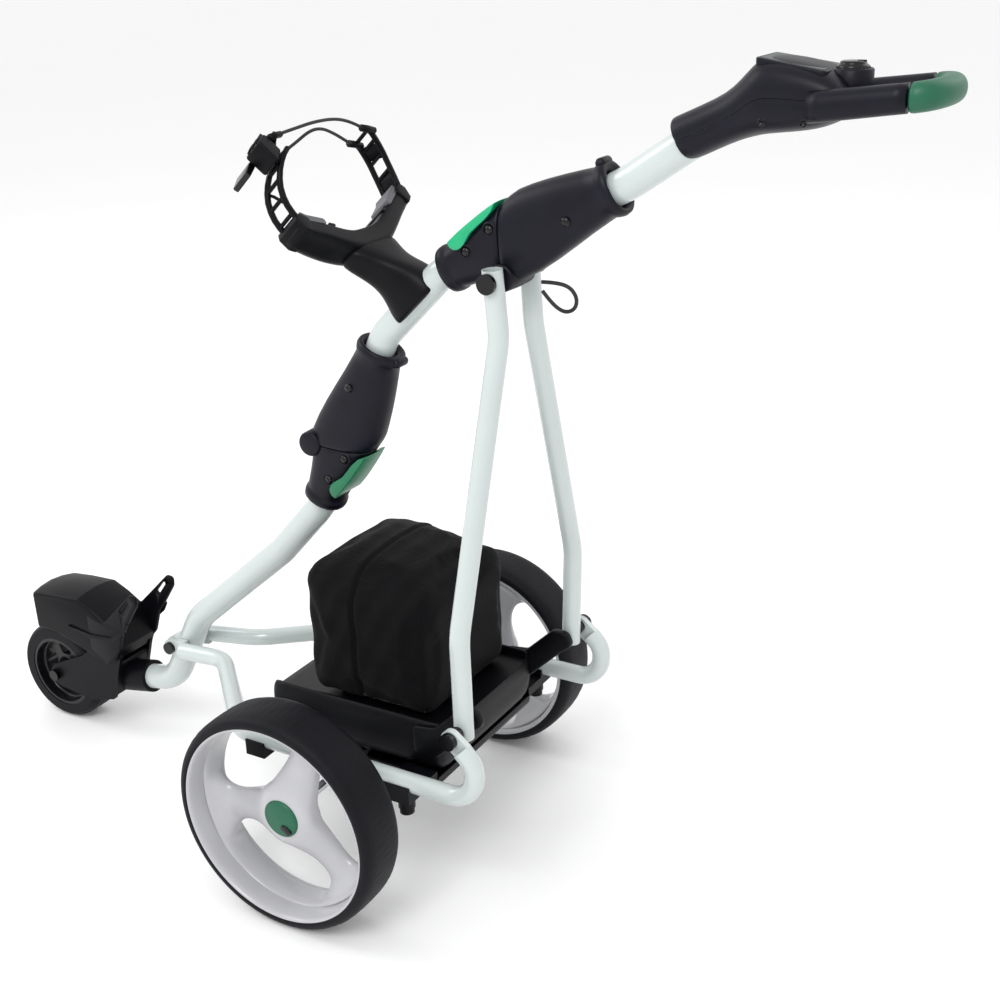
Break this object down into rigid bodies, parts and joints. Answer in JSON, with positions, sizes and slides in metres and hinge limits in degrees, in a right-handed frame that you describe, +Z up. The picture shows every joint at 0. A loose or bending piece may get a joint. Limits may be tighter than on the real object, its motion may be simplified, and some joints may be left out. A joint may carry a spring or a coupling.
{
  "type": "electric golf trolley",
  "caption": "Three-wheeled electric golf trolley with folding joints, bag rest and cradle, rear struts, battery bag on a tray and a loop grip handle.",
  "frame": {"origin": "on the ground, at the middle of the trolley's length and width", "axes": "+X forward to the front wheel, +Y to the trolley's left, +Z up"},
  "size_m": [1.419, 0.582, 1.0517],
  "materials": {
    "tyre": "matt rubber tread",
    "hub": "light grey moulded plastic, satin gloss",
    "white_paint": "gloss white powder coat",
    "black_plastic": "fine grained moulded plastic",
    "joint_plastic": "satin moulded plastic",
    "green_plastic": "green moulded plastic",
    "grey_plastic": "grey panel",
    "rubber_pad": "grey soft rubber",
    "bag_fabric": "black woven nylon",
    "steel": "zinc plated steel",
    "black_steel": "black plated steel",
    "cord": "black elastic cord",
    "battery": "sealed battery case",
    "motor": "satin motor can",
    "board": "green circuit board"
  },
  "bodies": {
    "base": {"chassis_housing": "black_plastic", "housing_floor": "black_plastic", "base_tube_left": "white_paint", "base_tube_right": "white_paint", "tube_clamps": "black_plastic", "clamp_plugs": "black_plastic", "strut_pivot_bolts": "black_steel", "front_pivot_bolt": "black_steel", "drive_motor": "motor", "motor_controller": "board", "axle_bearings": "steel"},
    "axle": {"drive_axle": "steel", "axle_gear": "steel"},
    "pinion": {"motor_pinion": "steel"},
    "left_wheel": {"left_tyre": "tyre", "left_hub": "hub", "left_hub_cap": "green_plastic"},
    "left_catch": {"left_release_catch": "black_plastic"},
    "right_wheel": {"right_tyre": "tyre", "right_hub": "hub", "right_hub_cap": "green_plastic"},
    "right_catch": {"right_release_catch": "black_plastic"},
    "lower_frame": {"lower_tube": "white_paint", "pivot_lug": "white_paint", "front_bracket": "black_plastic", "bag_rest": "black_plastic", "front_axle": "black_steel", "lower_joint_socket": "joint_plastic", "lower_joint_bolts": "black_steel", "lower_hinge_pin": "steel"},
    "front_wheel": {"front_tyre": "tyre", "front_hub": "hub"},
    "lower_latch": {"lower_latch_lever": "green_plastic"},
    "mid_frame": {"mid_tube": "white_paint", "lower_joint_cap": "joint_plastic", "upper_joint_socket": "joint_plastic", "mid_joint_bolts": "black_steel", "upper_hinge_pin": "steel", "bag_cradle": "black_plastic", "cradle_pads": "rubber_pad", "cradle_ladders": "black_plastic", "bungees": "cord", "buckle_block": "black_plastic"},
    "upper_latch": {"upper_latch_lever": "green_plastic"},
    "buckle": {"buckle_lever": "black_plastic"},
    "handle": {"handle_tube": "white_paint", "upper_joint_cap": "joint_plastic", "handle_joint_bolt": "black_steel", "handle_upper_shell": "black_plastic", "handle_lower_shell": "black_plastic", "grip_end": "green_plastic", "display_window": "grey_plastic", "control_board": "board", "cord_loop": "cord"},
    "dial": {"speed_dial": "black_plastic"},
    "struts": {"strut_left": "white_paint", "strut_right": "white_paint", "strut_top_knobs": "black_plastic"},
    "battery": {"battery_bag": "bag_fabric", "battery_case": "battery"}
  },
  "joints": [
    {"name": "axle_spin", "type": "hinge", "parent": "base", "child": "axle", "pos_m": [-0.012, 0, 0.15], "axis": [0, 1, 0], "continuous": true},
    {"name": "left_wheel_spin", "type": "hinge", "parent": "base", "child": "left_wheel", "pos_m": [-0.012, 0.255, 0.15], "axis": [0, 1, 0], "continuous": true},
    {"name": "right_wheel_spin", "type": "hinge", "parent": "base", "child": "right_wheel", "pos_m": [-0.012, -0.255, 0.15], "axis": [0, 1, 0], "continuous": true},
    {"name": "pinion_spin", "type": "hinge", "parent": "base", "child": "pinion", "pos_m": [-0.0483, -0.06, 0.15], "axis": [0, 1, 0], "continuous": true},
    {"name": "front_wheel_spin", "type": "hinge", "parent": "lower_frame", "child": "front_wheel", "pos_m": [0.63, 0, 0.08], "axis": [0, 1, 0], "continuous": true},
    {"name": "left_catch_press", "type": "slide", "parent": "left_wheel", "child": "left_catch", "axis": [0, -1, 0], "range_m": [0, 0.002], "stiffness_N_per_m": 800, "springref_m": -0.001},
    {"name": "right_catch_press", "type": "slide", "parent": "right_wheel", "child": "right_catch", "axis": [0, 1, 0], "range_m": [0, 0.002], "stiffness_N_per_m": 800, "springref_m": -0.001},
    {"name": "main_fold", "type": "hinge", "parent": "lower_frame", "child": "mid_frame", "pos_m": [0.087, 0, 0.552], "axis": [0, 1, 0], "range_deg": [0, 138]},
    {"name": "lower_fold", "type": "hinge", "parent": "base", "child": "lower_frame", "pos_m": [0.382, 0, 0.183], "axis": [0, 1, 0], "range_deg": [-34.1, 0]},
    {"name": "strut_fold", "type": "hinge", "parent": "base", "child": "struts", "pos_m": [-0.207, 0, 0.267], "axis": [0, 1, 0], "range_deg": [0, 58.1]},
    {"name": "handle_fold", "type": "hinge", "parent": "mid_frame", "child": "handle", "pos_m": [-0.21, 0, 0.8], "axis": [0, -1, 0], "range_deg": [0, 100]},
    {"name": "battery_lift_off", "type": "slide", "parent": "base", "child": "battery", "axis": [-0.9982, 0, 0.06], "range_m": [0, 0.341]},
    {"name": "lower_latch_press", "type": "hinge", "parent": "lower_frame", "child": "lower_latch", "pos_m": [0.05278, 0, 0.47782], "axis": [0, -1, 0], "range_deg": [0, 20], "stiffness_Nm_per_rad": 1.2, "springref_deg": -11.46},
    {"name": "upper_latch_press", "type": "hinge", "parent": "mid_frame", "child": "upper_latch", "pos_m": [-0.13541, 0, 0.83331], "axis": [0, 1, 0], "range_deg": [0, 20], "stiffness_Nm_per_rad": 1.2, "springref_deg": -11.46},
    {"name": "buckle_open", "type": "hinge", "parent": "mid_frame", "child": "buckle", "pos_m": [0.07934, 0.106, 0.91593], "axis": [0.7193, 0, -0.6947], "range_deg": [0, 60]},
    {"name": "dial_turn", "type": "hinge", "parent": "handle", "child": "dial", "pos_m": [-0.599, 0, 1.03], "axis": [-0.045, 0, -0.999], "range_deg": [0, 270]}
  ],
  "couplings": [
    {"joint": "left_wheel_spin", "follows": "axle_spin", "ratio": 1},
    {"joint": "right_wheel_spin", "follows": "axle_spin", "ratio": 1},
    {"joint": "pinion_spin", "follows": "axle_spin", "ratio": -3},
    {"joint": "lower_fold", "follows": "main_fold", "ratio": -0.2466},
    {"joint": "strut_fold", "follows": "main_fold", "ratio": 0.4202},
    {"joint": "battery_lift_off", "follows": "main_fold", "m_per_rad": 0.14116}
  ]
}
